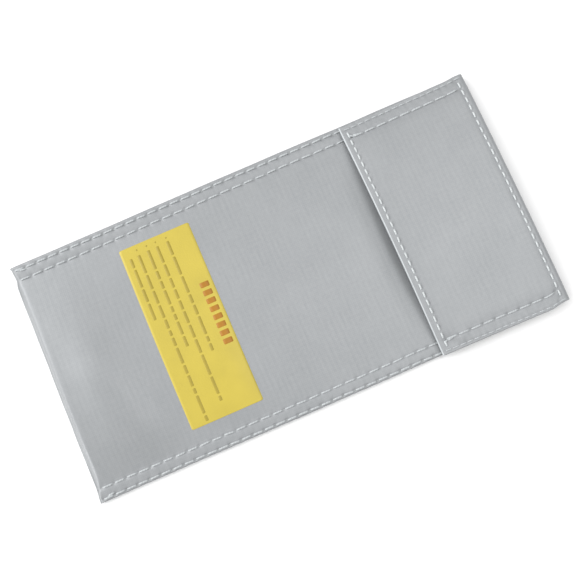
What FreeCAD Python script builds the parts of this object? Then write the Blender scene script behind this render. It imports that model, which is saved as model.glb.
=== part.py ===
import FreeCAD, Part
import os
import Sketcher

# A flat fire-resistant pouch for lithium polymer packs, with a fold-over hook-and-loop flap.
# Millimetres. +X runs from the folded bottom end to the mouth, +Y to the left side with the
# mouth ahead, +Z up. The back panel lies on z = 0 and the origin is under the middle.

os.makedirs("parts", exist_ok=True)
doc = FreeCAD.newDocument("pouch")

DRIVING = {
    "bag_length": 200.0,  # closed, from the bottom fold to the mouth fold
    "bag_width": 100.0,  # across the two side seams
    "flap_length": 55.0,  # from the mouth fold to the free edge
    "cloth": 0.45,  # coated outer cloth
    "lining": 0.35,  # inner cloth
    "pocket_height": 5.0,  # clear space between the linings, along the middle
    "flange_width": 7.0,  # flat sewn strip along each side
    "slope_run": 26.0,  # from the sewn strip up to the full height
    "taper_run": 17.0,  # from the bottom fold up to the full height
    "flange_lift": 0.4,  # the sewn strips stand clear of the table by this
    "thread_width": 0.6,
    "thread_height": 0.3,
    "outer_row": 1.6,  # rows of stitches, measured in from the side edge
    "inner_row": 5.8,
    "tape_base": 0.45,  # woven ground of both tapes
    "pile_height": 0.8,
    "hook_height": 0.65,
    "tape_gap": 0.3,
    "tape_side_margin": 8.0,  # from the bag's side edge to the tapes' ends
    "label_width": 30.0,
    "label_from_bottom": 43.7,
    "label_side_margin": 11.5,
    "label_thick": 0.2,
    "hinge_gap": 0.3,
    "hem_depth": 8.0,
    "hem_side_margin": 14.0,
}

DERIVED = {
    "half_length": "bag_length / 2",
    "half_width": "bag_width / 2",
    "shoulder": "half_width - flange_width - slope_run",
    "flange_start": "half_width - flange_width",
    "fold_radius": "cloth + lining",
    "fold_x": "-half_length + fold_radius",
    "taper_x": "fold_x + taper_run",
    "seam_plane": "flange_lift + cloth + lining",
    "front_rise": "pocket_height - flange_lift",
    "front_cloth_low": "seam_plane + lining",
    "front_top": "front_cloth_low + cloth",
    "pile_low": "front_top + tape_base",
    "hook_low": "pile_low + pile_height + tape_gap",
    "hook_base_low": "hook_low + hook_height",
    "facing_low": "hook_base_low + tape_base",
    "flap_low": "facing_low + lining",
    "flap_top": "flap_low + cloth",
    "hinge_x": "half_length - cloth / 2",
    "spine_foot_z": "cloth / 2",
    "spine_head_z": "flap_top + front_rise + thread_height - cloth / 2",
    "panel_end": "hinge_x - hinge_gap",
    "lining_end": "half_length - cloth - lining - hinge_gap",
    "mouth_x": "lining_end - 1.15",
    "flap_start": "half_length - flap_length + cloth",
    "tape_width": "flap_length - 5",
    "hook_tape_x": "half_length - flap_length + 2.45",
    "loop_tape_x": "hook_tape_x - 1.15",
    "label_x": "-half_length + label_from_bottom",
}

sizes = doc.addObject("Spreadsheet::Sheet", "sizes")


def fill_sheet():
    """Each size gets its own named cell; derived sizes are formulas of the driving ones."""
    row = 1
    for name, value in DRIVING.items():
        sizes.set("A%d" % row, name)
        sizes.set("B%d" % row, str(value))
        sizes.setAlias("B%d" % row, name)
        row += 1
    for name, formula in DERIVED.items():
        sizes.set("A%d" % row, name)
        sizes.set("B%d" % row, "=" + formula)
        sizes.setAlias("B%d" % row, name)
        row += 1
    doc.recompute()


def size(name):
    return float(sizes.get(name))


def bind(obj, prop, formula):
    """Bind a property to a formula whose words are names in the sheet."""
    words = []
    for word in formula.split():
        known = word in DRIVING or word in DERIVED
        words.append("sizes." + word if known else word)
    obj.setExpression(prop, " ".join(words))


def origin_plane(body, role):
    for feature in body.Origin.OriginFeatures:
        if feature.Role == role:
            return feature
    raise ValueError(role)


def new_body(label):
    body = doc.addObject("PartDesign::Body", label)
    body.Label = label
    return body


def new_sketch(body, role, offset):
    sketch = body.newObject("Sketcher::SketchObject", body.Name + "_outline")
    sketch.AttachmentSupport = [(origin_plane(body, role), "")]
    sketch.MapMode = "FlatFace"
    bind(sketch, "AttachmentOffset.Base.z", offset)
    return sketch


def fall(y):
    """1 on the sewn strips, 0 on the flat middle, a smooth step between; and its slope."""
    t = (abs(y) - size("shoulder")) / size("slope_run")
    t = min(1.0, max(0.0, t))
    slope = 6 * t * (1 - t) / size("slope_run")
    return t * t * (3 - 2 * t), slope if y > 0 else -slope


def height(y, strip_z, rise):
    """Height at y of a sheet that is strip_z high on the sewn strips and rise higher midway."""
    step, slope = fall(y)
    return strip_z + rise * (1 - step), -rise * slope


def edge_between(start, end, strip_z, rise):
    """One edge of a cross-section: straight where the sheet is flat, a cubic on the slopes."""
    z_start, slope_start = height(start, strip_z, rise)
    z_end, slope_end = height(end, strip_z, rise)
    middle = abs(start + end) / 2
    on_slope = size("shoulder") < middle < size("flange_start")
    first = FreeCAD.Vector(start, z_start, 0)
    last = FreeCAD.Vector(end, z_end, 0)
    if not on_slope:
        return Part.LineSegment(first, last)
    third = (end - start) / 3
    poles = [
        first,
        FreeCAD.Vector(start + third, z_start + slope_start * third, 0),
        FreeCAD.Vector(end - third, z_end - slope_end * third, 0),
        last,
    ]
    curve = Part.BSplineCurve()
    curve.buildFromPoles(poles, False, 3)
    return curve


def stations(start, end):
    """The places from start to end where a cross-section changes from flat to sloping."""
    breaks = [size("shoulder"), size("flange_start")]
    inside = [y for b in breaks for y in (-b, b) if start + 0.01 < y < end - 0.01]
    return [start] + sorted(inside) + [end]


def draw_section(sketch, start, end, low, high, low_rise, high_rise):
    """The closed outline of a sheet's cross-section between two heights."""
    places = stations(start, end)
    pairs = list(zip(places[:-1], places[1:]))
    edges = [edge_between(a, b, low, low_rise) for a, b in pairs]
    left = FreeCAD.Vector(end, height(end, low, low_rise)[0], 0)
    left_top = FreeCAD.Vector(end, height(end, high, high_rise)[0], 0)
    right = FreeCAD.Vector(start, height(start, low, low_rise)[0], 0)
    right_top = FreeCAD.Vector(start, height(start, high, high_rise)[0], 0)
    edges.append(Part.LineSegment(left, left_top))
    edges += [edge_between(b, a, high, high_rise) for a, b in reversed(pairs)]
    edges.append(Part.LineSegment(right_top, right))
    sketch.addGeometry(edges, False)
    count = len(edges)
    for i in range(count):
        sketch.addConstraint(Sketcher.Constraint("Coincident", i, 2, (i + 1) % count, 1))
    for i in range(count):
        sketch.addConstraint(Sketcher.Constraint("Block", i))


def add_pad(body, sketch, length):
    pad = body.newObject("PartDesign::Pad", body.Name + "_pad")
    pad.Profile = sketch
    bind(pad, "Length", length)
    sketch.Visibility = False
    body.Tip = pad
    return pad


def add_layer(body, from_x, length, start, end, low, high, rise, low_rise=None):
    """A stretch of sheet, constant along X, from side position start to end."""
    sketch = new_sketch(body, "YZ_Plane", from_x)
    lower = rise if low_rise is None else low_rise
    draw_section(sketch, start, end, low, high, lower, rise)
    add_pad(body, sketch, length)
    return sketch


def layer(label, from_x, length, half, low, high, rise, low_rise=None):
    """A node that is one stretch of sheet, centred across the bag."""
    body = new_body(label)
    add_layer(body, from_x, length, -half, half, low, high, rise, low_rise)
    return body


def bead(label, from_x, length, y, low):
    """A straight row of stitches along X, as a plain bead on the cloth."""
    body = new_body(label)
    half = size("thread_width") / 2
    add_layer(body, from_x, length, y - half, y + half, low, low + size("thread_height"), 0.0)
    return body


def tapered_panel(label, low, high, rise, end):
    """A full-width panel that flattens towards the bottom fold."""
    body = new_body(label)
    half = size("half_width")
    first = add_layer(body, "taper_x", end + " - taper_x", -half, half, low, high, rise)
    steps = 5
    sections = []
    for step in range(1, steps + 1):
        share = 1 - step / steps
        eased = share * share * (3 - 2 * share)
        place = "taper_x - taper_run * %d / %d" % (step, steps)
        sketch = new_sketch(body, "YZ_Plane", place)
        draw_section(sketch, -half, half, low, high, rise * eased, rise * eased)
        sections.append(sketch)
    loft = body.newObject("PartDesign::AdditiveLoft", body.Name + "_taper")
    loft.Profile = first
    loft.Sections = sections
    loft.Ruled = True
    for sketch in sections:
        sketch.Visibility = False
    body.Tip = loft
    return body


def bottom_fold():
    """The half-round turn of the outer cloth that joins the two panels at the bottom."""
    body = new_body("bottom_fold")
    sketch = new_sketch(body, "XZ_Plane", "0 - half_width")
    outer = size("fold_radius")
    inner = outer - size("cloth")
    middle = FreeCAD.Vector(size("fold_x"), size("seam_plane"), 0)
    up = FreeCAD.Vector(0, 1, 0)
    quarter = 1.5707963267948966
    normal = FreeCAD.Vector(0, 0, 1)
    sketch.addGeometry(
        [
            Part.ArcOfCircle(Part.Circle(middle, normal, outer), quarter, 3 * quarter),
            Part.LineSegment(middle - up * outer, middle - up * inner),
            Part.ArcOfCircle(Part.Circle(middle, normal, inner), quarter, 3 * quarter),
            Part.LineSegment(middle + up * inner, middle + up * outer),
        ],
        False,
    )
    for i in range(4):
        sketch.addConstraint(Sketcher.Constraint("Block", i))
    add_pad(body, sketch, "bag_width")
    return body


def panels():
    """The two panels of outer cloth, each with its lining."""
    lift = size("flange_lift")
    back_low = lift + size("cloth")
    seam = size("seam_plane")
    front_low = size("front_cloth_low")
    rise = size("front_rise")
    tapered_panel("back_cloth", lift, back_low, -lift, "panel_end")
    tapered_panel("back_lining", back_low, seam, -lift, "lining_end")
    tapered_panel("front_lining", seam, front_low, rise, "mouth_x")
    tapered_panel("front_cloth", front_low, size("front_top"), rise, "mouth_x")


def mouth_hem():
    """The front cloth's turned edge: a nose at the mouth and a leg under the lining."""
    body = new_body("mouth_hem")
    half = size("half_width") - size("hem_side_margin")
    seam = size("seam_plane")
    low = seam - size("cloth")
    rise = size("front_rise")
    add_layer(body, "mouth_x", "cloth", -half, half, low, size("front_top"), rise)
    add_layer(body, "mouth_x - hem_depth", "hem_depth", -half, half, low, seam, rise)
    return body


def mouth_hem_thread():
    half = size("half_width") - size("hem_side_margin")
    top = size("front_top")
    bead_top = top + size("thread_height")
    rise = size("front_rise")
    start = "mouth_x - 1.05"
    return layer("mouth_hem_thread", start, "thread_width", half, top, bead_top, rise)


def label():
    half = size("half_width") - size("label_side_margin")
    top = size("front_top")
    label_top = top + size("label_thick")
    rise = size("front_rise")
    return layer("warning_label", "label_x", "label_width", half, top, label_top, rise)


def seam_threads():
    """Two rows of lockstitch on each side: a needle thread above, a bobbin thread below."""
    for side, sign in (("left", 1), ("right", -1)):
        for row, inset in (("outer", size("outer_row")), ("inner", size("inner_row"))):
            y = sign * (size("half_width") - inset)
            above = size("front_top")
            below = size("flange_lift") - size("thread_height")
            name = side + "_" + row
            length = "mouth_x - fold_x - 1"
            bead(name + "_needle_thread", "fold_x + 0.7", length, y, above)
            bead(name + "_bobbin_thread", "fold_x + 0.7", length, y, below)


def loop_tape():
    """The soft half of the closure, sewn round its edge to the front panel."""
    half = size("half_width") - size("tape_side_margin")
    base = size("front_top")
    ground = size("pile_low")
    top = ground + size("pile_height")
    rise = size("front_rise")
    width = size("thread_width")
    bead_top = ground + size("thread_height")
    layer("loop_tape_base", "loop_tape_x", "tape_width", half, base, ground, rise)
    layer("loop_pile", "loop_tape_x + 2", "tape_width - 4", half - 2, ground, top, rise)
    body = new_body("loop_tape_thread")
    edge = half - 0.7
    near = "loop_tape_x + 0.7"
    far = "loop_tape_x + tape_width - 0.7 - thread_width"
    between = "tape_width - 1.4 - 2 * thread_width"
    add_layer(body, near, "thread_width", -edge, edge, ground, bead_top, rise)
    start = near + " + thread_width"
    add_layer(body, start, between, edge - width, edge, ground, bead_top, rise)
    add_layer(body, start, between, -edge, width - edge, ground, bead_top, rise)
    add_layer(body, far, "thread_width", -edge, edge, ground, bead_top, rise)


def spine():
    """The band of cloth that stands at the mouth and carries the flap, with its lining."""
    half = size("half_width")
    gap = size("hinge_gap")
    lift = size("flange_lift")
    rise = size("front_rise")
    foot = size("spine_foot_z") + gap + lift
    head = size("flap_top") - size("cloth") / 2 - gap
    inner_foot = size("seam_plane") + gap
    inner_head = size("facing_low") - gap
    layer("spine_cloth", "half_length - cloth", "cloth", half, foot, head, rise, -lift)
    start = "half_length - cloth - lining"
    layer("spine_lining", start, "lining", half, inner_foot, inner_head, rise, -lift)


def flap():
    """The flap: outer cloth and facing, joined by a turned edge at the free end."""
    half = size("half_width")
    low = size("facing_low")
    middle = size("flap_low")
    top = size("flap_top")
    rise = size("front_rise")
    layer("flap_cloth", "flap_start", "panel_end - flap_start", half, middle, top, rise)
    layer("flap_facing", "flap_start", "lining_end - flap_start", half, low, middle, rise)
    layer("flap_edge_fold", "flap_start - cloth", "cloth", half, low, top, rise)


def hook_tape():
    """The stiff half of the closure, sewn inside the flap."""
    half = size("half_width") - size("tape_side_margin")
    low = size("hook_low")
    ground = size("hook_base_low")
    top = size("facing_low")
    rise = size("front_rise")
    start = "hook_tape_x + 1.5"
    layer("hook_tape_base", "hook_tape_x", "tape_width", half, ground, top, rise)
    layer("hook_field", start, "tape_width - 3", half - 1.5, low, ground, rise)


def flap_threads():
    """Stitches on the flap: two rows across that hold the tape, two along each side."""
    top = size("flap_top")
    bead_top = top + size("thread_height")
    rise = size("front_rise")
    inner = size("half_width") - size("inner_row")
    outer = size("half_width") - size("outer_row")
    reach = inner + size("thread_width") / 2
    near = "hook_tape_x + 0.4"
    far = "hook_tape_x + tape_width - 0.8"
    layer("flap_free_edge_thread", near, "thread_width", reach, top, bead_top, rise)
    layer("flap_fold_edge_thread", far, "thread_width", reach, top, bead_top, rise)
    between = "tape_width - 1.2 - thread_width"
    for side, sign in (("left", 1), ("right", -1)):
        start = near + " + thread_width"
        bead("flap_" + side + "_inner_thread", start, between, sign * inner, top)
        length = "lining_end - flap_start - 0.3"
        bead("flap_" + side + "_outer_thread", "flap_start + 0.3", length, sign * outer, top)


def check_and_export():
    """Write each node once every one of them is sound."""
    doc.recompute()
    bodies = [o for o in doc.Objects if o.TypeId == "PartDesign::Body"]
    for obj in doc.Objects:
        bad = [state for state in obj.State if state in ("Invalid", "Error")]
        if bad:
            raise ValueError(obj.Label + " is " + ", ".join(bad))
    for body in bodies:
        shape = body.Shape
        if shape.isNull() or not shape.isValid() or shape.Volume <= 0 or len(shape.Solids) != 1:
            raise ValueError(body.Label + " has no sound solid")
    for body in bodies:
        body.Shape.exportStep("parts/" + body.Label + ".step")
    print(len(bodies), "nodes")


fill_sheet()
panels()
bottom_fold()
mouth_hem()
mouth_hem_thread()
label()
seam_threads()
loop_tape()
spine()
flap()
hook_tape()
flap_threads()
check_and_export()
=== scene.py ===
"""A flat fire-resistant pouch with a fold-over hook-and-loop flap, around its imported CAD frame.

Shapes are worked out in millimetres and put into the meshes in metres. +X runs from the folded
bottom end to the mouth, +Y to the left side with the mouth ahead, +Z up out of the front.
"""

import logging
import math
from collections.abc import Callable, Sequence
from dataclasses import dataclass, field
from enum import Enum

import bpy
import numpy as np
from mathutils import Matrix, Vector

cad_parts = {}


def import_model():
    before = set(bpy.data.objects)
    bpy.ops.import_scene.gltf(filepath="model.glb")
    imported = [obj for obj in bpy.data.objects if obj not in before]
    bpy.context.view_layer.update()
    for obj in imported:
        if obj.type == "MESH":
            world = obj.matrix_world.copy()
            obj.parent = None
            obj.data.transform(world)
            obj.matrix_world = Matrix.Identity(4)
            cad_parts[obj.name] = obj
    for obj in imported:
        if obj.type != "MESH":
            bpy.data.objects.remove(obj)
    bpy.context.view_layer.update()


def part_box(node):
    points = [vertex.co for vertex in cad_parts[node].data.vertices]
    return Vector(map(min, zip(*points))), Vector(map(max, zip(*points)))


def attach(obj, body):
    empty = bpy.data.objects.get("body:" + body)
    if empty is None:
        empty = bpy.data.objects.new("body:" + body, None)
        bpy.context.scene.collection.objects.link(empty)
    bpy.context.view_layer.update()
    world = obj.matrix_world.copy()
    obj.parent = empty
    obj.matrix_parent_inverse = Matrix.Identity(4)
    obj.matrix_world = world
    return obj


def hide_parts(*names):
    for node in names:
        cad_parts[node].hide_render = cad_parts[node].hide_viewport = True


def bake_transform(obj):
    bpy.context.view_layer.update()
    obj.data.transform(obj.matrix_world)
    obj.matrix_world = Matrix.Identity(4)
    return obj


LOG = logging.getLogger("pouch")
MM = 0.001
RIM_BULGE = 0.33
MATH, NOISE, RANGE = "ShaderNodeMath", "ShaderNodeTexNoise", "ShaderNodeMapRange"
BUMP, MIX = "ShaderNodeBump", "ShaderNodeMix"
SIDES = (("left", 1), ("right", -1))
Array = np.ndarray
Height = Callable[[Array, Array], Array]
Placing = Callable[[Array, Array], tuple[Array, Array]]


class Slot(Enum):
    """The record's material slots."""

    OUTER = "outer_cloth"
    INNER = "inner_cloth"
    GROUND = "tape_ground"
    PILE = "tape_pile"
    HOOKS = "tape_hooks"
    LABEL = "label"
    THREAD = "thread"


class Border(Enum):
    """The four borders of a sheet's grid: its first and last row, and its first and last column."""

    START = "start"
    END = "end"
    LOW = "low"
    HIGH = "high"


# ---------------------------------------------------------------- small tools


def linear(hex_colour: str) -> tuple[float, float, float, float]:
    """Turn an sRGB hex colour into linear RGBA.

    Args:
        hex_colour: six hex digits, with or without a leading #.

    Returns:
        Linear red, green and blue from 0 to 1, and an alpha of 1.
    """
    digits = hex_colour.lstrip("#")
    channels = [int(digits[i : i + 2], 16) / 255 for i in (0, 2, 4)]
    out = [c / 12.92 if c <= 0.04045 else ((c + 0.055) / 1.055) ** 2.4 for c in channels]
    return (out[0], out[1], out[2], 1.0)


def smooth(t: Array) -> Array:
    """Smooth step: 3t^2 - 2t^3 with t held between 0 and 1."""
    t = np.clip(t, 0.0, 1.0)
    return t * t * (3 - 2 * t)


def bell(distance: Array, width: float) -> Array:
    """Gaussian bell: e to the minus square of distance over width."""
    return np.exp(-((distance / width) ** 2))


def curve_through(places: Sequence[float], values: Sequence[float], at: Array) -> Array:
    """Smooth curve through given points, by cubic steps whose slopes are those of the neighbours.

    Args:
        places: increasing positions of the points.
        values: their values.
        at: positions to evaluate; beyond the ends the end values hold.

    Returns:
        The curve's values.
    """
    knots, heights = np.array(places), np.array(values)
    k = np.clip(np.searchsorted(knots, at) - 1, 0, len(knots) - 2)
    gap = knots[k + 1] - knots[k]
    share = np.clip((at - knots[k]) / gap, 0, 1)
    slopes = np.gradient(heights, knots)
    starts = (2 * share**3 - 3 * share**2 + 1) * heights[k] + (3 * share**2 - 2 * share**3) * heights[k + 1]
    leans = (share**3 - 2 * share**2 + share) * slopes[k] + (share**3 - share**2) * slopes[k + 1]
    return starts + gap * leans


def slow_noise(x: Array, y: Array, seed: int, wave: float, count: int = 7) -> Array:
    """Gentle unevenness: the mean of a few plane waves in seeded directions.

    Args:
        x: positions along the pouch, in mm.
        y: positions across it, in mm.
        seed: picks the directions and phases.
        wave: the middle wavelength, in mm.
        count: how many waves are added.

    Returns:
        Values mostly between -1 and 1.
    """
    rng = np.random.default_rng(seed)
    total = np.zeros(np.broadcast(x, y).shape)
    for angle, phase, stretch in zip(
        rng.uniform(0, math.pi, count), rng.uniform(0, math.tau, count), rng.uniform(0.6, 1.6, count)
    ):
        along = x * math.cos(angle) + y * math.sin(angle)
        total = total + np.sin(math.tau * along / (wave * stretch) + phase)
    return total / math.sqrt(count)


def mesh_object(name: str, points: Array, faces: Array, uv: Array | None = None) -> bpy.types.Object:
    """Put vertices and quads into a new smooth-shaded object at the origin.

    Args:
        name: the piece's name.
        points: vertices, (n, 3), in mm.
        faces: quads as vertex numbers, (m, 4).
        uv: one coordinate pair for each vertex, in mm along the cloth.

    Returns:
        The linked object.
    """
    mesh = bpy.data.meshes.new(name)
    mesh.vertices.add(len(points))
    mesh.vertices.foreach_set("co", (points * MM).astype(np.float32).ravel())
    loops = faces.astype(np.int32).ravel()
    mesh.loops.add(len(loops))
    mesh.loops.foreach_set("vertex_index", loops)
    mesh.polygons.add(len(faces))
    mesh.polygons.foreach_set("loop_start", np.arange(0, len(loops), 4, dtype=np.int32))
    mesh.polygons.foreach_set("use_smooth", np.ones(len(faces), bool))
    if uv is not None:
        layer = mesh.uv_layers.new(name="along_cloth")
        layer.data.foreach_set("uv", uv[loops].astype(np.float32).ravel())
    mesh.update(calc_edges=True)
    mesh.validate()
    obj = bpy.data.objects.new(name, mesh)
    bpy.context.scene.collection.objects.link(obj)
    return obj


def grid_faces(rows: int, columns: int) -> Array:
    """Quads of a grid whose vertices are numbered row by row, (m, 4)."""
    a = (np.arange(rows - 1)[:, None] * columns + np.arange(columns - 1)[None, :]).ravel()
    return np.stack([a, a + columns, a + columns + 1, a + 1], axis=1)


def normals_of(surface: Array) -> Array:
    """Unit normals of a grid of points: the cross product of its two directions."""
    along = np.gradient(surface, axis=0)
    across = np.gradient(surface, axis=1)
    n = np.cross(along, across)
    return n / np.maximum(np.linalg.norm(n, axis=2, keepdims=True), 1e-9)


def shell(name: str, surface: Array, thickness: float, flush: Sequence[Border] = ()) -> bpy.types.Object:
    """A sheet of cloth: a surface, its copy one thickness below, and a rounded rim between.

    The rim's middle ring stands out of the edge by a third of the thickness. A flush border,
    where the same cloth goes on in another piece, has a flat rim and a crisp edge instead, so
    that the two pieces shade as one. The coordinates are distance along the rows and y across.

    Args:
        name: the piece's name.
        surface: grid of points on its outer face, (rows, columns, 3), in mm.
        thickness: in mm, measured against the normals.
        flush: the borders that go on in another piece.

    Returns:
        The closed mesh's object.
    """
    rows, columns = surface.shape[:2]
    size = rows * columns
    steps = np.linalg.norm(np.diff(surface, axis=0), axis=2)
    run_up = np.vstack([np.zeros((1, columns)), np.cumsum(steps, axis=0)])
    uv = np.stack([run_up + surface[:1, :, 0], surface[:, :, 1]], axis=2)
    inner = surface - normals_of(surface) * thickness
    index = np.arange(size).reshape(rows, columns)
    loop = np.concatenate([index[0, :-1], index[:-1, -1], index[-1, :0:-1], index[:0:-1, 0]])
    lines = {
        Border.START: index[0],
        Border.END: index[-1],
        Border.LOW: index[:, 0],
        Border.HIGH: index[:, -1],
    }
    out = np.zeros((rows, columns, 3))
    out[0] += surface[0] - surface[1]
    out[-1] += surface[-1] - surface[-2]
    out[:, 0] += surface[:, 0] - surface[:, 1]
    out[:, -1] += surface[:, -1] - surface[:, -2]
    direction = out.reshape(-1, 3)
    direction /= np.maximum(np.linalg.norm(direction, axis=1, keepdims=True), 1e-9)
    for border in flush:
        direction[lines[border]] = 0
    flat_outer, flat_inner = surface.reshape(-1, 3), inner.reshape(-1, 3)
    ring = (flat_outer[loop] + flat_inner[loop]) / 2 + direction[loop] * thickness * RIM_BULGE
    points = np.concatenate([flat_outer, flat_inner, ring])
    faces = grid_faces(rows, columns)
    below = faces[:, ::-1] + size
    here = np.arange(len(loop))
    after = (here + 1) % len(loop)
    rim_top = np.stack([loop[here], loop[after], 2 * size + after, 2 * size + here], axis=1)
    rim_low = np.stack([2 * size + here, 2 * size + after, loop[after] + size, loop[here] + size], axis=1)
    flat_uv = uv.reshape(-1, 2)
    all_uv = np.concatenate([flat_uv, flat_uv, flat_uv[loop]])
    obj = mesh_object(name, points, np.concatenate([faces, below, rim_top, rim_low]), all_uv)
    crisp_borders(obj.data, [lines[border] + shift for border in flush for shift in (0, size)])
    return obj


def crisp_borders(mesh: bpy.types.Mesh, lines: Sequence[Array]) -> None:
    """Mark the edges that lie on lines of vertices as sharp."""
    ends = np.empty(len(mesh.edges) * 2, np.int32)
    mesh.edges.foreach_get("vertices", ends)
    ends = ends.reshape(-1, 2)
    sharp = np.zeros(len(ends), bool)
    for line in lines:
        member = np.zeros(len(mesh.vertices), bool)
        member[line] = True
        sharp |= member[ends[:, 0]] & member[ends[:, 1]]
    layer = mesh.attributes.new("sharp_edge", "BOOLEAN", "EDGE")
    layer.data.foreach_set("value", sharp)


def add_node(
    tree: bpy.types.NodeTree, kind: str, inputs: dict[str | int, object] | None = None, **settings: object
) -> bpy.types.Node:
    """Add a node with its settings, values and links.

    Args:
        tree: the node tree.
        kind: the node's type name.
        inputs: values or output sockets for its inputs, by name or number.
        settings: properties of the node itself.

    Returns:
        The node.
    """
    made = tree.nodes.new(kind)
    for key, value in settings.items():
        setattr(made, key, value)
    for key, value in (inputs or {}).items():
        if isinstance(value, bpy.types.NodeSocket):
            tree.links.new(value, made.inputs[key])
        else:
            made.inputs[key].default_value = value
    return made


def skin(
    name: str, node: str, surface: Array, thickness: float, flush: Sequence[Border] = ()
) -> bpy.types.Object:
    """A sheet that stands for a CAD node."""
    obj = shell(name, surface, thickness, flush)
    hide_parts(node)
    return obj


def dress(obj: bpy.types.Object, material: bpy.types.Material) -> None:
    """Give a piece its material."""
    obj.data.materials.clear()
    obj.data.materials.append(material)


# ---------------------------------------------------------------- finishes


@dataclass(frozen=True)
class Finish:
    """A finish starts as a named material with a surface shader."""

    name: str

    def begin(self) -> tuple[bpy.types.Material, bpy.types.NodeTree, bpy.types.NodeSocket]:
        """Make the empty material.

        Returns:
            The material, its node tree and the cloth's own coordinates, in mm.
        """
        material = bpy.data.materials.new(self.name)
        material.use_nodes = True
        tree = material.node_tree
        return material, tree, add_node(tree, "ShaderNodeUVMap", uv_map="along_cloth").outputs[0]

    def complete(
        self,
        tree: bpy.types.NodeTree,
        colour: bpy.types.NodeSocket,
        relief: bpy.types.NodeSocket,
        depth_mm: float,
        values: dict[str, float],
    ) -> None:
        """Give the shader its colour, its relief and its constant values.

        Args:
            tree: the material's node tree.
            colour: where the colour comes from.
            relief: height of the relief, from 0 to 1.
            depth_mm: what a height of 1 stands for.
            values: the shader's inputs that are constant.
        """
        shader = tree.nodes["Principled BSDF"]
        bump = add_node(tree, BUMP, {"Height": relief, "Distance": depth_mm * MM, "Strength": 1.0})
        tree.links.new(colour, shader.inputs["Base Color"])
        tree.links.new(bump.outputs[0], shader.inputs["Normal"])
        for key, value in values.items():
            shader.inputs[key].default_value = value


@dataclass(frozen=True)
class WovenCloth(Finish):
    """Plain-woven glass-fibre cloth, bare or with a thin silver-grey polyurethane coat.

    The coat fills the weave, so the eye gets a satin grey with a faint grid of threads, ribs
    across the width where single weft threads stand proud, and slight clouding.
    """

    colour: str = "#a0a2a4"
    shade: str = "#909395"
    roughness: float = 0.45
    metallic: float = 0.3
    thread_mm: float = 0.75
    rib_mm: float = 1.25
    band_mm: float = 2.24
    relief_mm: float = 0.035
    clouding: float = 0.5

    def build(self) -> bpy.types.Material:
        """Make the material; its pattern follows the cloth's own coordinates in mm."""
        material, tree, uv = self.begin()
        split = add_node(tree, "ShaderNodeSeparateXYZ", {0: uv})
        waves = []
        for axis in (0, 1):
            turn = add_node(
                tree, MATH, {0: split.outputs[axis], 1: math.pi / self.thread_mm}, operation="MULTIPLY"
            )
            wave = add_node(tree, MATH, {0: turn.outputs[0]}, operation="SINE")
            waves.append(add_node(tree, MATH, {0: wave.outputs[0]}, operation="ABSOLUTE").outputs[0])
        crossing = add_node(tree, MATH, {0: waves[0], 1: waves[1]}, operation="MULTIPLY")
        across = add_node(tree, "ShaderNodeMapping", {"Vector": uv, "Scale": (1 / self.rib_mm, 0.11, 1.0)})
        ribs = add_node(tree, NOISE, {"Vector": across.outputs[0], "Scale": 1.0, "Detail": 1.0})
        along = add_node(tree, "ShaderNodeMapping", {"Vector": uv, "Scale": (0.05, 0.8, 1.0)})
        warp = add_node(tree, NOISE, {"Vector": along.outputs[0], "Scale": 1.0, "Detail": 1.0})
        cloud = add_node(tree, NOISE, {"Vector": uv, "Scale": 0.045, "Detail": 3.0})
        grain = add_node(tree, NOISE, {"Vector": uv, "Scale": 0.9, "Detail": 2.0})
        pace = add_node(tree, MATH, {0: split.outputs[0], 1: math.tau / self.band_mm}, operation="MULTIPLY")
        band = add_node(tree, MATH, {0: pace.outputs[0]}, operation="SINE")
        faint = add_node(tree, MATH, {0: band.outputs[0], 1: 0.045}, operation="MULTIPLY")
        sums = [faint.outputs[0]]
        for pattern, weight in (
            (ribs, 0.3),
            (crossing, 0.22),
            (warp, 0.18),
            (grain, 0.5),
            (cloud, self.clouding),
        ):
            total = add_node(
                tree, MATH, {0: pattern.outputs[0], 1: weight, 2: sums[-1]}, operation="MULTIPLY_ADD"
            )
            sums.append(total.outputs[0])
        threads_only, mixed = sums[3], sums[-1]
        middle = 0.15 + 0.09 + 0.09 + 0.25 + 0.5 * self.clouding
        ramp = add_node(tree, RANGE, {0: mixed, 1: middle - 0.35, 2: middle + 0.35, 3: 0.0, 4: 1.0})
        tones = {"Factor": ramp.outputs[0], "A": linear(self.shade), "B": linear(self.colour)}
        colour = add_node(tree, MIX, tones, data_type="RGBA")
        values = {"Roughness": self.roughness, "Metallic": self.metallic, "Specular IOR Level": 0.5}
        self.complete(tree, colour.outputs[2], threads_only, self.relief_mm, values)
        return material


@dataclass(frozen=True)
class TwistedThread(Finish):
    """Polyester sewing thread, three plies twisted, silver-white with a slight sheen."""

    colour: str = "#babec0"
    shade: str = "#acb0b2"
    ply_mm: float = 1.1
    relief_mm: float = 0.025
    roughness: float = 0.45
    sheen: float = 0.2

    def build(self) -> bpy.types.Material:
        """Make the material; the plies run slantwise round the thread."""
        material, tree, uv = self.begin()
        split = add_node(tree, "ShaderNodeSeparateXYZ", {0: uv})
        along = add_node(tree, MATH, {0: split.outputs[0], 1: math.tau / self.ply_mm}, operation="MULTIPLY")
        slant = add_node(
            tree, MATH, {0: split.outputs[1], 1: math.tau, 2: along.outputs[0]}, operation="MULTIPLY_ADD"
        )
        ply = add_node(tree, MATH, {0: slant.outputs[0]}, operation="SINE")
        ramp = add_node(tree, RANGE, {0: ply.outputs[0], 1: -1.0, 2: 0.4, 3: 0.0, 4: 1.0})
        tones = {"Factor": ramp.outputs[0], "A": linear(self.shade), "B": linear(self.colour)}
        colour = add_node(tree, MIX, tones, data_type="RGBA")
        values = {"Roughness": self.roughness, "Sheen Weight": self.sheen}
        self.complete(tree, colour.outputs[2], ply.outputs[0], self.relief_mm, values)
        return material


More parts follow.
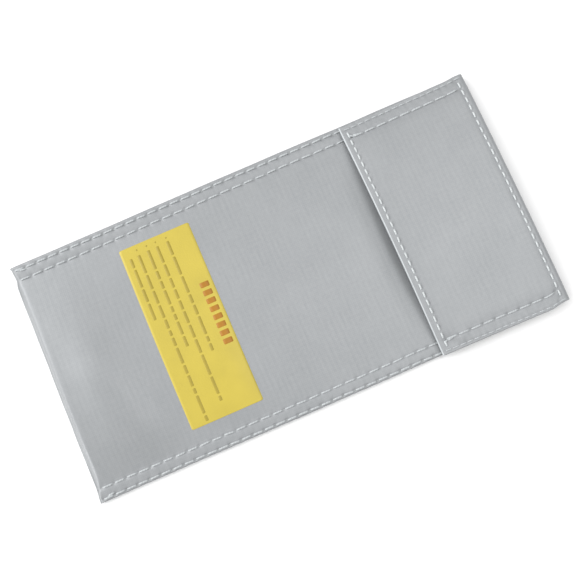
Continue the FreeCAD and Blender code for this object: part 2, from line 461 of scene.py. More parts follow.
@dataclass(frozen=True)
class PrintedFilm(Finish):
    """Self-adhesive vinyl film or its ink: an even colour, semi-gloss, bedded into the weave."""

    colour: str = "#c3b044"
    roughness: float = 0.4
    thread_mm: float = 0.7
    cloud_mm: float = 12.5
    relief_mm: float = 0.04

    def build(self) -> bpy.types.Material:
        """Make the material; the cloth's weave shows through as a faint relief."""
        material, tree, uv = self.begin()
        cloud = add_node(tree, NOISE, {"Vector": uv, "Scale": 1 / self.cloud_mm, "Detail": 3.0})
        grain = add_node(tree, NOISE, {"Vector": uv, "Scale": 1 / self.thread_mm, "Detail": 1.0})
        ramp = add_node(tree, RANGE, {0: cloud.outputs[0], 1: 0.3, 2: 0.7, 3: 0.94, 4: 1.03})
        tint = add_node(
            tree, "ShaderNodeVectorMath", {0: linear(self.colour)[:3], 3: ramp.outputs[0]}, operation="SCALE"
        )
        values = {"Roughness": self.roughness}
        self.complete(tree, tint.outputs[0], grain.outputs[0], self.relief_mm, values)
        return material


@dataclass(frozen=True)
class NylonTape(Finish):
    """Black nylon of hook-and-loop tape: ribbed ground, brushed pile or stiff hooks."""

    colour: str = "#1b1c1e"
    shade: str = "#0e0f10"
    roughness: float = 0.8
    rib_mm: float = 0.6
    fuzz: float = 0.0
    relief_mm: float = 0.15

    def build(self) -> bpy.types.Material:
        """Make the material; ribs or fuzz come from noise at their own real pitch."""
        material, tree, uv = self.begin()
        grain = add_node(tree, NOISE, {"Vector": uv, "Scale": 1 / self.rib_mm, "Detail": 4.0})
        tones = {"Factor": grain.outputs[0], "A": linear(self.shade), "B": linear(self.colour)}
        colour = add_node(tree, MIX, tones, data_type="RGBA")
        values = {"Roughness": self.roughness, "Sheen Weight": self.fuzz}
        self.complete(tree, colour.outputs[2], grain.outputs[0], self.relief_mm, values)
        return material


# ---------------------------------------------------------------- the pouch's shape


@dataclass(frozen=True)
class SeamRow:
    """A straight row of lockstitch along X on both sides of the pouch, all sizes in mm."""

    inset: float
    pitch: float
    stitch: float
    start: float
    depth: float = 0.34
    right: float = 0.0

    def place(self, half_width: float, side: int) -> float:
        """The row's y on the left (1) or right (-1) side; on the right it may run nearer the edge."""
        return side * (half_width - self.inset + self.right * (side < 0))

    def relief(self, x: Array, y: Array, half_width: float) -> Array:
        """How the row pulls the cloth in: a groove, and a dimple at each needle hole."""
        away = np.where(y > 0, y - self.place(half_width, 1), self.place(half_width, -1) - y)
        phase = np.mod(x - self.start + self.pitch / 2, self.pitch) - self.pitch / 2
        holes = self.depth * bell(away, 0.5) * bell(phase, 0.5)
        pulled = 0.07 * np.cos(math.tau * phase / self.pitch) * bell(away, 1.5)
        return -0.06 * bell(away, 0.7) - holes - pulled


@dataclass
class Envelope:
    """The closed pouch as heights over the table, in mm.

    The pocket is fullest just behind the bottom fold, where it is domed like a pillow, and it
    flattens towards the mouth. The stations give its height over the sewn strips at distances
    from the bottom fold. The brow is the bottom fold's profile, as shares of its reach and height.
    The edge and fold rows are the stitch rows across the flap, measured from its free edge and
    from the mouth. A ridge is a soft slanting fold in the right half: where its crest lies, its
    height, and the y it starts from. It leans, and fades in over its length across. The dip is
    the front panel's, beside the flap's free edge: its depth, and where it starts and ends with
    the lengths it takes. The swell is the cloth's rise between two seam rows, and the raw edge is
    the width that thins out at the side.
    """

    cloth: float = 0.45
    lining: float = 0.35
    flange: float = 7.0
    fold_reach: float = 2.2
    stations: tuple[float, ...] = (
        *(0.0, 3.0, 6.0, 12.0, 18.0, 24.0, 30.0, 37.0, 50.0, 75.0, 100.0),
        *(128.0, 136.0, 141.0, 145.5, 150.0, 157.0, 188.0, 200.0),
    )
    rises: tuple[float, ...] = (
        *(2.9, 3.55, 3.7, 3.8, 3.7, 3.25, 2.75, 2.35, 2.0, 1.65, 1.55),
        *(1.7, 1.55, 0.75, -0.1, 0.3, 0.95, 1.0, 0.5),
    )
    brow_out: tuple[float, ...] = (0.0, 0.25, 0.45, 0.62, 0.76, 0.84, 0.92, 1.02, 1.05, 0.98, 0.5, 0.0)
    brow_up: tuple[float, ...] = (1.0, 0.97, 0.86, 0.66, 0.42, 0.27, 0.19, 0.15, 0.09, 0.03, 0.0, 0.0)
    ridges: tuple[tuple[float, float, float], ...] = ((-80.0, 1.6, 22.0), (-36.0, 1.4, 4.0))
    flap_rise: float = 1.5
    body_rows: tuple[SeamRow, ...] = (
        SeamRow(inset=1.8, pitch=4.85, stitch=4.0, start=-98.6, depth=0.5, right=0.85),
        SeamRow(inset=6.05, pitch=5.15, stitch=4.25, start=-97.6, right=0.9),
    )
    flap_rows: tuple[SeamRow, ...] = (
        SeamRow(inset=1.4, pitch=3.06, stitch=2.3, start=46.4, depth=0.1, right=0.4),
        SeamRow(inset=5.4, pitch=5.2, stitch=4.4, start=48.6, right=0.3),
    )
    ridge_lean: float = 0.135
    ridge_fade: float = 30.0
    even_end: float = 15.0
    dip: float = 0.35
    dip_starts: tuple[float, float] = (36.5, 7.5)
    dip_ends: tuple[float, float] = (52.0, 10.0)
    crease_high: float = 0.05
    table_gap: float = 0.04
    tape_base: float = 0.45
    swell: float = 0.12
    swell_inset: float = 3.7
    raw_edge: float = 0.9
    edge_row: float = 2.7
    fold_row: float = 3.3
    cross_pitch: float = 3.4
    cross_stitch: float = 2.5
    half_length: float = field(init=False)
    half_width: float = field(init=False)
    strip_top: float = field(init=False)
    strip_low: float = field(init=False)
    flap_strip: float = field(init=False)
    flap_edge: float = field(init=False)
    mouth: float = field(init=False)

    def __post_init__(self) -> None:
        """Take the outline and the levels of the sewn strips from the frame."""
        fold_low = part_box("bottom_fold")[0] / MM
        spine_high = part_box("spine_cloth")[1] / MM
        self.half_length = spine_high.x
        self.half_width = -fold_low.y
        self.strip_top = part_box("left_outer_needle_thread")[0].z / MM
        self.strip_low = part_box("left_outer_bobbin_thread")[1].z / MM
        self.flap_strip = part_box("flap_left_outer_thread")[0].z / MM
        self.flap_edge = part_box("flap_edge_fold")[0].x / MM
        self.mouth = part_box("front_cloth")[1].x / MM

    @property
    def fold_start(self) -> float:
        """Where the flap's cloth starts to turn down at the mouth."""
        return self.half_length - self.fold_reach

    def widths(self) -> Array:
        """Sample positions across the pouch."""
        return width_samples(self.half_width, self.flange + 0.5)

    def pillow(self, y: Array) -> Array:
        """1 in the middle and 0 on the sewn strips: a parabola with its foot rounded off."""
        share = np.abs(y) / (self.half_width - self.flange + 0.6)
        bow = np.clip(1 - share**2, 0, None)
        return bow + 0.02 * np.exp(-((share - 1) / 0.05) ** 2)

    def fullness(self, x: Array) -> Array:
        """Height over the strips along the middle: the stations joined by smooth steps."""
        return curve_through(self.stations, self.rises, x + self.half_length)

    def side_out(self, x: Array) -> Array:
        """How far the side edges stand out of straight: up to half a millimetre by the mouth."""
        drift = 0.05 * slow_noise(x, np.zeros_like(x), 40, 45.0, 5)
        return 0.12 + 0.3 * smooth((x + 70) / 60) + drift * (x < 90)

    def sideways(self, y: Array) -> Array:
        """0 along the middle and 1 from 5 mm inside the side edge outwards."""
        return smooth((y - 25) / 20)

    def spread(self, x: Array, y: Array) -> Array:
        """Positions across the body moved out to its real edge, a little more on the left."""
        out = self.side_out(x) + 0.22 * (y > 0) * (1 - smooth((x - 60) / 38))
        return y + np.sign(y) * self.sideways(np.abs(y)) * out

    def front(self, x: Array, y: Array) -> Array:
        """Top of the front panel: strip level less the dip, plus the fullness and slow unevenness.

        A faint crease along the middle and the ridges are added to the unevenness.
        """
        away = smooth((x + self.half_length) / self.even_end)
        uneven = 0.07 * slow_noise(x, y, 3, 42.0) * (0.3 + self.pillow(y))
        crease = self.crease_high * bell(y - 0.5 - 0.02 * (x - 20), 1.6) * bell(x - 25, 16.0)
        ridge = 0.0
        for crest, high, from_y in self.ridges:
            past = x - crest - self.ridge_lean * (8 - y)
            across = smooth((from_y - y) / self.ridge_fade) * self.pillow(y)
            ridge = ridge + high * bell(past, 14.0 - 6.0 * (past > 0)) * across
        (start, down), (end, up) = self.dip_starts, self.dip_ends
        dip = self.dip * smooth((x - start) / down) * (1 - smooth((x - end) / up))
        full = self.fullness(x) * self.pillow(y)
        return self.strip_top - dip + full + (uneven + crease + ridge) * away

    def tape_ground(self, x: Array, y: Array) -> Array:
        """Top of the loop tape's ground, on the front panel."""
        return self.front(x, y) + self.tape_base

    def front_sewn(self, x: Array, y: Array) -> Array:
        """The front panel with its seam rows pulled in and the strip between them swollen."""
        relief = sum(row.relief(x, y, self.half_width) for row in self.body_rows)
        swollen = self.swell * bell(np.abs(y) - self.half_width + self.swell_inset, 1.4)
        edge = -0.16 * smooth((np.abs(y) - self.half_width + self.raw_edge) / self.raw_edge)
        return self.front(x, y) + relief + swollen + edge

    def back(self, x: Array, y: Array) -> Array:
        """Underside of the back panel: on the table along the middle, lifted at the strips."""
        ends = 1 - smooth((x + self.half_length - 1) / 14)
        arch = 1 - smooth((np.abs(y) - 17) / (self.half_width - self.flange - 17))
        lifted = np.maximum(1 - arch, ends)
        uneven = 0.08 * (1 + slow_noise(x, y, 9, 50.0)) * np.clip(lifted, 0, 1)
        lowest = self.table_gap
        return lowest + (self.strip_low - lowest) * lifted + np.clip(uneven, 0, 0.2)

    def back_sewn(self, x: Array, y: Array) -> Array:
        """The back panel with its seam rows pulled in, upwards."""
        relief = sum(row.relief(x, y, self.half_width) for row in self.body_rows)
        return self.back(x, y) - relief * 0.8

    def flap_share(self, x: Array) -> Array:
        """0 at the mouth's fold and 1 at the flap's free edge."""
        return np.clip((self.fold_start - x) / (self.fold_start - self.flap_edge), 0, 1.1)

    def flap_skew(self, x: Array, y: Array) -> Array:
        """The flap's cut is a little out of square, and its free edge bows by a fifth of a mm."""
        across = y / self.half_width
        return self.flap_share(x) * (0.08 - 0.2 * across - 0.3 * across**2)

    def placed(self, x: Array, y: Array) -> tuple[Array, Array]:
        """Where a point of the body's flat pattern lies, seen from above."""
        return x, self.spread(x, y)

    def flap_placed(self, x: Array, y: Array) -> tuple[Array, Array]:
        """Where a point of the flap's pattern lies: skewed, and narrower towards the free edge."""
        share = self.flap_share(x)
        at_fold = self.side_out(np.full_like(y, self.fold_start))
        side = self.sideways(np.abs(y)) * np.sign(y)
        out = at_fold * (1 - share) - 0.1 * share
        shift = (0.5 + 0.5 * self.sideways(-y)) * smooth(share * 8)
        return x + self.flap_skew(x, y), y + side * out - shift

    def flap(self, x: Array, y: Array) -> Array:
        """Top of the flap: strip level, the pocket below, and a soft turn down at the free edge.

        Its sides droop towards the body beyond the tape, and its far corner puckers.
        """
        level = self.flap_strip - 0.3 + self.flap_rise * self.pillow(y)
        away = x - self.flap_edge
        droop = -0.7 * smooth((np.abs(y) - 40) / 10) * (0.35 + 0.65 * smooth(away / 8))
        lip = 0.1 - 0.42 * np.exp(-np.maximum(away, 0) / 1.3)
        from_fold = x - self.half_length + self.fold_row
        sunk = -0.14 * bell(away - self.edge_row, 1.6) - 0.2 * bell(from_fold, 1.6)
        uneven = 0.06 * slow_noise(x, y, 21, 40.0)
        corner = bell(y + self.half_width - 4.0, 2.6)
        pucker = corner * (0.55 * bell(away - 9, 3.0) - 0.5 * bell(away - 6, 2.6))
        return level + droop + lip + sunk + uneven + pucker

    def flap_sewn(self, x: Array, y: Array) -> Array:
        """The flap with all its rows pulled in."""
        relief = sum(row.relief(x, y, self.half_width) for row in self.flap_rows)
        across = 0.0
        phase = np.mod(y + self.cross_pitch / 2, self.cross_pitch) - self.cross_pitch / 2
        for place in (self.flap_edge + self.edge_row, self.half_length - self.fold_row):
            across = across - 0.08 * bell(x - place, 0.6) - 0.2 * bell(x - place, 0.45) * bell(phase, 0.5)
        return self.flap(x, y) + relief + across

    def nose_reach(self, y: Array) -> Array:
        """How far the bottom fold's curve reaches: long in the middle, short at the corners."""
        return 1.2 + 2.3 * smooth((self.half_width - 1.0 - np.abs(y)) / 11)

    def nose_start(self, y: Array) -> Array:
        """Where the panels meet the bottom fold.

        The sewn corners poke out a little, and the strip inside the left one is drawn in.
        """
        tip = -0.1 + 0.4 * smooth((self.half_width - 1.0 - np.abs(y)) / 5) + 0.0025 * y
        left = 0.6 * smooth((y - self.half_width + 8.5) / 3) * smooth((self.half_width - 0.1 - y) / 0.9)
        return -self.half_length + self.nose_reach(y) + tip + left + 0.05 * slow_noise(y * 0, y, 5, 20.0)


def width_samples(half: float, strip: float, fine: float = 0.38, coarse: float = 1.2) -> Array:
    """Positions across the pouch, closer together on the sewn strips.

    Args:
        half: half the width, in mm.
        strip: the strips' width.
        fine: spacing on the strips.
        coarse: spacing between them.

    Returns:
        Increasing positions from -half to half.
    """
    edge = np.linspace(half - strip, half, round(strip / fine) + 1)
    count = round(2 * (half - strip) / coarse) + 1
    middle = np.linspace(-half + strip, half - strip, count)
    return np.concatenate([-edge[::-1], middle[1:-1], edge])


# ---------------------------------------------------------------- cloth pieces


@dataclass
class Body:
    """The pocket: two panels, the bottom fold, the linings and the mouth's hem."""

    shape: Envelope
    coated: bpy.types.Material
    bare: bpy.types.Material
    spacing: float = 0.62

    def grid(self, end: float) -> tuple[Array, Array]:
        """Sample positions from the bottom fold to an end, following the fold's curve."""
        s = self.shape
        y = s.widths()
        share = np.linspace(0, 1, round((end + s.half_length) / self.spacing))
        start = s.nose_start(y)
        x = start[None, :] + share[:, None] * (end - start[None, :])
        return x, np.broadcast_to(y, x.shape)

    def laid(self, x: Array, y: Array, height: Height) -> Array:
        """Grid of points at a height, moved out to the body's real edge."""
        return np.stack([x, self.shape.spread(x, y), height(x, y)], axis=2)

    def make_front(self) -> bpy.types.Object:
        """Front panel, from the bottom fold to the mouth under the flap."""
        x, y = self.grid(self.shape.mouth)
        surface = self.laid(x, y, self.shape.front_sewn)
        return skin("front_cloth_skin", "front_cloth", surface, self.shape.cloth, flush=[Border.START])

    def make_back(self) -> bpy.types.Object:
        """Back panel, from the mouth back to the bottom fold, facing down."""
        x, y = self.grid(self.shape.fold_start)
        surface = self.laid(x[::-1], y, self.shape.back_sewn)
        flush = [Border.START, Border.END]
        return skin("back_cloth_skin", "back_cloth", surface, self.shape.cloth, flush)

    def make_fold(self) -> bpy.types.Object:
        """Bottom fold: a round brow over a steep wall, and a low flattened crease at its foot."""
        s = self.shape
        y = s.widths()
        x0 = s.nose_start(y)
        top, low = s.front_sewn(x0, y), s.back_sewn(x0, y)
        steps = np.linspace(0, len(s.brow_out) - 1, 45)[:, None]
        knots = range(len(s.brow_out))
        x = x0 - s.nose_reach(y) * curve_through(knots, s.brow_out, steps)
        z = low + (top - low) * curve_through(knots, s.brow_up, steps)
        surface = np.stack([x, np.broadcast_to(s.spread(x0, y), x.shape), z], axis=2)[::-1]
        return skin("bottom_fold_skin", "bottom_fold", surface, s.cloth, flush=[Border.START, Border.END])

    def make_linings(self) -> list[bpy.types.Object]:
        """The two linings, one against each panel."""
        s = self.shape
        x, y = self.grid(s.mouth)
        keep = slice(2, None, 3), slice(None, None, 2)
        x, y = x[keep], y[keep] * 0.997

        def under_front(x: Array, y: Array) -> Array:
            return s.front(x, y) - s.cloth

        def over_back(x: Array, y: Array) -> Array:
            return s.back(x, y) + s.cloth + s.lining

        front, back = self.laid(x, y, under_front), self.laid(x, y, over_back)
        return [
            skin("front_lining_skin", "front_lining", front, s.lining),
            skin("back_lining_skin", "back_lining", back, s.lining),
        ]

    def make_hem(self) -> bpy.types.Object:
        """The turned edge at the mouth: a half-round nose and a leg under the lining."""
        s = self.shape
        low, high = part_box("mouth_hem")
        y = np.linspace(low.y, high.y, 65) / MM
        radius = s.cloth + s.lining / 2
        turn = np.linspace(math.pi / 2, -math.pi / 2, 9)
        leg = np.linspace(-0.8, -8, 6)
        dx = np.concatenate([radius * np.cos(turn), leg])
        dz = np.concatenate([radius * np.sin(turn) - radius, np.full(6, -2 * radius)])
        x = s.mouth - 0.2 + dx[:, None] + 0 * y
        z = s.front(np.full_like(y, s.mouth), y) + dz[:, None]
        surface = np.stack([x, np.broadcast_to(y, x.shape), z], axis=2)
        return skin("mouth_hem_skin", "mouth_hem", surface, s.cloth * 0.9)

    def build(self) -> list[bpy.types.Object]:
        """Make every cloth piece of the pocket, dressed and riding on the bag."""
        front, back, fold = self.make_front(), self.make_back(), self.make_fold()
        hem, linings = self.make_hem(), self.make_linings()
        for obj in (front, back, fold, hem):
            dress(obj, self.coated)
        for obj in linings:
            dress(obj, self.bare)
        made = [front, back, fold, hem, *linings]
        for obj in made:
            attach(obj, "bag")
        return made


@dataclass
class Flap:
    """The flap, its facing and turned edge, and the folds that carry it round the mouth."""

    shape: Envelope
    coated: bpy.types.Material
    bare: bpy.types.Material
    # lighter copy of the coated cloth for the turned free edge: a painted highlight
    edge_highlight: bpy.types.Material
    roundness: float = 2.4

    def surface(self, start: float, end: float, count: int, drop: float) -> Array:
        """The flap between two places along X, drop below its top."""
        s = self.shape
        y = s.widths()
        x, y = np.meshgrid(np.linspace(start, end, count), y, indexing="ij")
        z = s.flap_sewn(x, y) if drop == 0 else s.flap(x, y) - drop
        px, py = s.flap_placed(x, y)
        return np.stack([px, py, z], axis=2)

    def make_cloth(self) -> bpy.types.Object:
        """Outer cloth of the flap."""
        s = self.shape
        surface = self.surface(s.flap_edge + 0.5, s.fold_start, 110, 0)
        return skin("flap_cloth_skin", "flap_cloth", surface, s.cloth, flush=[Border.START, Border.END])

    def make_facing(self) -> bpy.types.Object:
        """Inner cloth of the flap, against its underside."""
        s = self.shape
        surface = self.surface(s.flap_edge + 0.9, s.fold_start, 48, s.cloth)
        return skin("flap_facing_skin", "flap_facing", surface, s.lining, flush=[Border.END])

    def make_edge(self) -> bpy.types.Object:
        """Turned free edge: half a circle round the facing's edge, then a short leg under it."""
        s = self.shape
        y = s.widths()
        x0 = np.full_like(y, s.flap_edge + 0.5)
        top = s.flap_sewn(x0, y)
        radius = (s.cloth * 2 + s.lining) / 2
        turn = np.linspace(-math.pi / 2, math.pi / 2, 13)[:, None]
        leg = np.linspace(1.9, 0.3, 4)[:, None]
        x = np.concatenate([x0 + leg, x0 - radius * 0.8 * np.cos(turn)])
        z = np.concatenate([top - 2 * radius + 0 * leg, top - radius + radius * np.sin(turn)])
        px, py = s.flap_placed(x, np.broadcast_to(y, x.shape))
        surface = np.stack([px, py, z], axis=2)
        return skin("flap_edge_skin", "flap_edge_fold", surface, s.cloth, flush=[Border.END])

    def fold(self, turn: Array, drop: float) -> Array:
        """Round the mouth: a squared ellipse from the flap's top down to the back panel.

        Args:
            turn: angles from pi at the flap to 0 at the back panel.
            drop: how far inside the outer face.

        Returns:
            Grid of points in mm.
        """
        s = self.shape
        y = s.widths()
        x0 = np.full_like(y, s.fold_start)
        top = s.flap_sewn(x0, y) - drop
        low = s.back_sewn(x0, y) + drop
        power = 2 / self.roundness
        t = turn[:, None]
        x = x0 + (s.fold_reach - drop) * np.abs(np.sin(t)) ** power
        z = (top + low) / 2 - (top - low) / 2 * np.sign(np.cos(t)) * np.abs(np.cos(t)) ** power
        return np.stack([x, np.broadcast_to(s.spread(x0, y), x.shape), z], axis=2)

    def make_folds(self) -> list[bpy.types.Object]:
        """Four pieces: the upper and lower half of the fold, in outer cloth and in lining."""
        s = self.shape
        upper = math.pi - math.pi / 2 * np.linspace(0, 1, 17)
        lower = math.pi / 2 - math.pi / 2 * np.linspace(0, 1, 17)
        made = [
            shell(name, self.fold(turn, drop), thick, flush=[Border.START, Border.END])
            for name, turn, drop, thick in (
                ("flap_fold_skin", upper, 0.0, s.cloth),
                ("mouth_fold_skin", lower, 0.0, s.cloth),
                ("flap_fold_lining", upper, s.cloth, s.lining),
                ("mouth_fold_lining", lower, s.cloth, s.lining),
            )
        ]
        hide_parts("spine_cloth")
        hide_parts("spine_lining")
        return made

    def build(self) -> list[bpy.types.Object]:
        """Make the flap's cloth, dressed; the flat pieces ride on the flap, the folds stay where they are
        made.
        """
        cloth, facing, edge = self.make_cloth(), self.make_facing(), self.make_edge()
        folds = self.make_folds()
        for obj in (cloth, folds[0], folds[1]):
            dress(obj, self.coated)
        # the turned edge is painted lighter: painted highlight along the flap's free edge
        dress(edge, self.edge_highlight)
        for obj in (facing, folds[2], folds[3]):
            dress(obj, self.bare)
        for obj in (cloth, facing, edge):
            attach(obj, "flap")
        for obj in (folds[0], folds[2]):
            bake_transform(obj)
        for obj in (folds[1], folds[3]):
            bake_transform(obj)
        return [cloth, facing, edge, *folds]


# ---------------------------------------------------------------- stitches


@dataclass
class Stitches:
    """One row of lockstitch: a short bent thread for each stitch, diving in at both ends."""

    name: str
    node: str
    body: str
    segments: Array
    height: Height
    placed: Placing
    # rows that take the lighter thread copy, whose extra brightness is painted highlight
    fresh: bool = False
    thread: float = 0.37
    under: bool = False
    seed: int = 0
    rings: int = 9
    sides: int = 8
    flatness: float = 0.8
    scatter: float = 0.06

    def points(self) -> tuple[Array, Array]:
        """Work out every stitch at once.

        A stitch follows the straight line between its two holes. Its middle stands
        above the cloth and its ends dip below; rings round it are flattened ellipses.

        Returns:
            Vertices (stitches, rings, sides, 3) in mm and their coordinates (..., 2).
        """
        rng = np.random.default_rng(self.seed + 11)
        ends = self.segments + rng.normal(0, self.scatter, self.segments.shape)
        t = np.linspace(-1, 1, self.rings)
        angle = np.linspace(0, math.tau, self.sides, endpoint=False)
        start, end = ends[:, None, :2], ends[:, None, 2:]
        share = (t[None, :, None] + 1) / 2
        line = start + (end - start) * share
        z_cloth = self.height(line[:, :, 0], line[:, :, 1])
        line = np.stack(self.placed(line[:, :, 0], line[:, :, 1]), axis=2)
        along = ends[:, 2:] - ends[:, :2]
        along = along / np.linalg.norm(along, axis=1, keepdims=True)
        side = np.stack([-along[:, 1], along[:, 0]], axis=1)
        sign = -1.0 if self.under else 1.0
        lift = self.thread * (0.6 - 0.14 * t - 1.25 * np.abs(t) ** 6)
        fat = 1 - 0.3 * np.abs(t) ** 4
        plump = rng.uniform(0.9, 1.1, (len(ends), 1))
        z = z_cloth + sign * lift * plump
        ring_side = np.cos(angle)[None, None, :] * (self.thread * fat)[None, :, None]
        ring_up = np.sin(angle)[None, None, :] * (self.thread * self.flatness * fat)[None, :, None]
        x = line[:, :, None, 0] + side[:, None, None, 0] * ring_side
        y = line[:, :, None, 1] + side[:, None, None, 1] * ring_side
        out = np.stack([x, y, z[:, :, None] + ring_up], axis=3)
        distance = np.linalg.norm(line - line[:, :1], axis=2)[:, :, None] + 0 * out[..., 0]
        turn = np.broadcast_to(angle / math.tau, out.shape[:3])
        return out, np.stack([distance, turn], axis=3)

    def build(self, material: bpy.types.Material) -> bpy.types.Object:
        """Make the row as one piece, dressed and riding on its body."""
        points, uv = self.points()
        count, rings, sides = points.shape[:3]
        ring, step = np.meshgrid(np.arange(rings - 1), np.arange(sides), indexing="ij")
        a = (ring * sides + step).ravel()
        b = (ring * sides + (step + 1) % sides).ravel()
        one = np.stack([a, b, b + sides, a + sides], axis=1)
        last = (rings - 1) * sides
        caps = np.array([[0, 3, 2, 1], [0, 5, 4, 3], [0, 7, 6, 5]])
        one = np.concatenate([one, caps, caps[:, ::-1] + last])
        faces = (one[None] + (np.arange(count) * rings * sides)[:, None, None]).reshape(-1, 4)
        obj = mesh_object(self.name, points.reshape(-1, 3), faces, uv.reshape(-1, 2))
        dress(obj, material)
        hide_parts(self.node)
        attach(obj, self.body)
        return obj


def run(start: tuple[float, float], end: tuple[float, float], pitch: float, stitch: float) -> Array:
    """Stitches of one length along a straight row.

    Args:
        start: x and y of the first hole, in mm.
        end: where the row ends.
        pitch: from one stitch to the next.
        stitch: the length of each.

    Returns:
        Start and end of each stitch, (n, 4).
    """
    a, b = np.array(start), np.array(end)
    long = float(np.linalg.norm(b - a))
    at = np.arange(0, long - stitch * 0.6, pitch)[:, None]
    way = (b - a) / long
    gap = (pitch - stitch) / 2
    return np.hstack([a + way * (at + gap), a + way * (at + gap + stitch)])


@dataclass
class Sewing:
    """Every row of stitches on the pouch."""

    shape: Envelope
    # two copies of one thread: the darker is painted shade for the rows along the sides, the lighter is
    # painted highlight for the rows across the flap
    shaded_thread: bpy.types.Material
    fresh: bpy.types.Material
    thin: float = 0.26
    thick: float = 0.4

    def body_rows(self) -> list[Stitches]:
        """Needle and bobbin threads of the two rows along each side."""
        s = self.shape
        made = []
        for side, sign in SIDES:
            for k, (label, row) in enumerate(zip(("outer", "inner"), s.body_rows)):
                y = row.place(s.half_width, sign)
                drift = sign * 0.15
                lines = run((row.start, y), (s.mouth - 1, y + drift), row.pitch, row.stitch)
                tack = self.back_tack(row.start, y, -sign)
                seed = 10 * k + sign
                below = {"thread": self.thin, "under": True, "seed": seed + 5}
                above = np.vstack([lines, tack]) if k == 0 else lines
                node = f"{side}_{label}"
                for part, thread, rows, height, settings in (
                    ("", "needle", above, s.front, {"seed": seed}),
                    ("_under", "bobbin", lines, s.back, below),
                ):
                    names = f"{node}{part}_stitches", f"{node}_{thread}_thread"
                    made.append(Stitches(*names, "bag", rows, height, s.placed, **settings))
        return made

    def back_tack(self, x: float, y: float, inward: int) -> Array:
        """Reverse stitches that lock a row's start: two short slanting ones."""
        near = [x + 1.0, y - 0.2 * inward, x + 4.4, y + 0.9 * inward]
        far = [x + 5.2, y + 0.9 * inward, x + 2.4, y + 0.5 * inward]
        return np.array([near, far])

    def flap_rows(self) -> list[Stitches]:
        """The rows along the flap's sides and across it."""
        s = self.shape
        made = []
        outer, inner = s.flap_rows
        edge, fold = s.flap_edge + s.edge_row, s.half_length - s.fold_row
        reach = s.half_width - 2.6
        for side, sign in SIDES:
            y = outer.place(s.half_width, sign)
            lines = run((outer.start, y - 0.3 * sign), (fold + 2, y + 0.2 * sign), outer.pitch, outer.stitch)
            made.append(self.on_flap(f"{side}_outer", lines, thread=0.25))
            y = inner.place(s.half_width, sign)
            lines = run((inner.start, y - 0.3 * sign), (fold - 0.4, y), inner.pitch, inner.stitch)
            turn = [
                [edge - 0.4, y + 0.9 * sign, edge + 1.6, y - 0.1 * sign],
                [edge + 1.2, y + 0.4 * sign, edge + 4.2, y - 0.3 * sign],
            ]
            made.append(self.on_flap(f"{side}_inner", np.vstack([lines, turn])))
        for name, x, slant in (("free_edge", edge, -0.2), ("fold_edge", fold, 0.0)):
            across = run((x + slant, reach), (x + 0.1, -reach), s.cross_pitch, s.cross_stitch)
            # the rows across the flap take the lighter thread copy: painted highlight
            made.append(self.on_flap(name, across, fresh=True, thread=self.thick))
        return made

    def on_flap(self, name: str, lines: Array, **settings: float) -> Stitches:
        """A row on the flap, named for its place there."""
        s = self.shape
        return Stitches(
            f"flap_{name}_stitches", f"flap_{name}_thread", "flap", lines, s.flap, s.flap_placed, **settings
        )

    def hidden_rows(self) -> list[Stitches]:
        """The hem's row, and the rectangle that holds the loop tape."""
        s = self.shape
        low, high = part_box("mouth_hem_thread")
        x = (low.x + high.x) / 2 / MM
        hem = run((x, high.y / MM), (x, low.y / MM), s.cross_pitch, s.cross_stitch)
        low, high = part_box("loop_tape_thread")
        x0, x1, y1 = low.x / MM + 0.3, high.x / MM - 0.3, high.y / MM - 0.3
        corners = [(x0, y1), (x1, y1), (x1, -y1), (x0, -y1)]
        sides = [run(a, b, 3.2, 2.3) for a, b in zip(corners, corners[1:] + corners[:1])]
        tape = np.vstack(sides)
        return [
            Stitches("mouth_hem_stitches", "mouth_hem_thread", "bag", hem, s.front, s.placed),
            Stitches(
                "loop_tape_stitches",
                "loop_tape_thread",
                "bag",
                tape,
                s.tape_ground,
                s.placed,
                thread=self.thin,
            ),
        ]

    def build(self) -> list[bpy.types.Object]:
        """Make every row."""
        rows = self.body_rows() + self.flap_rows() + self.hidden_rows()
        return [row.build(self.fresh if row.fresh else self.shaded_thread) for row in rows]


# ---------------------------------------------------------------- label


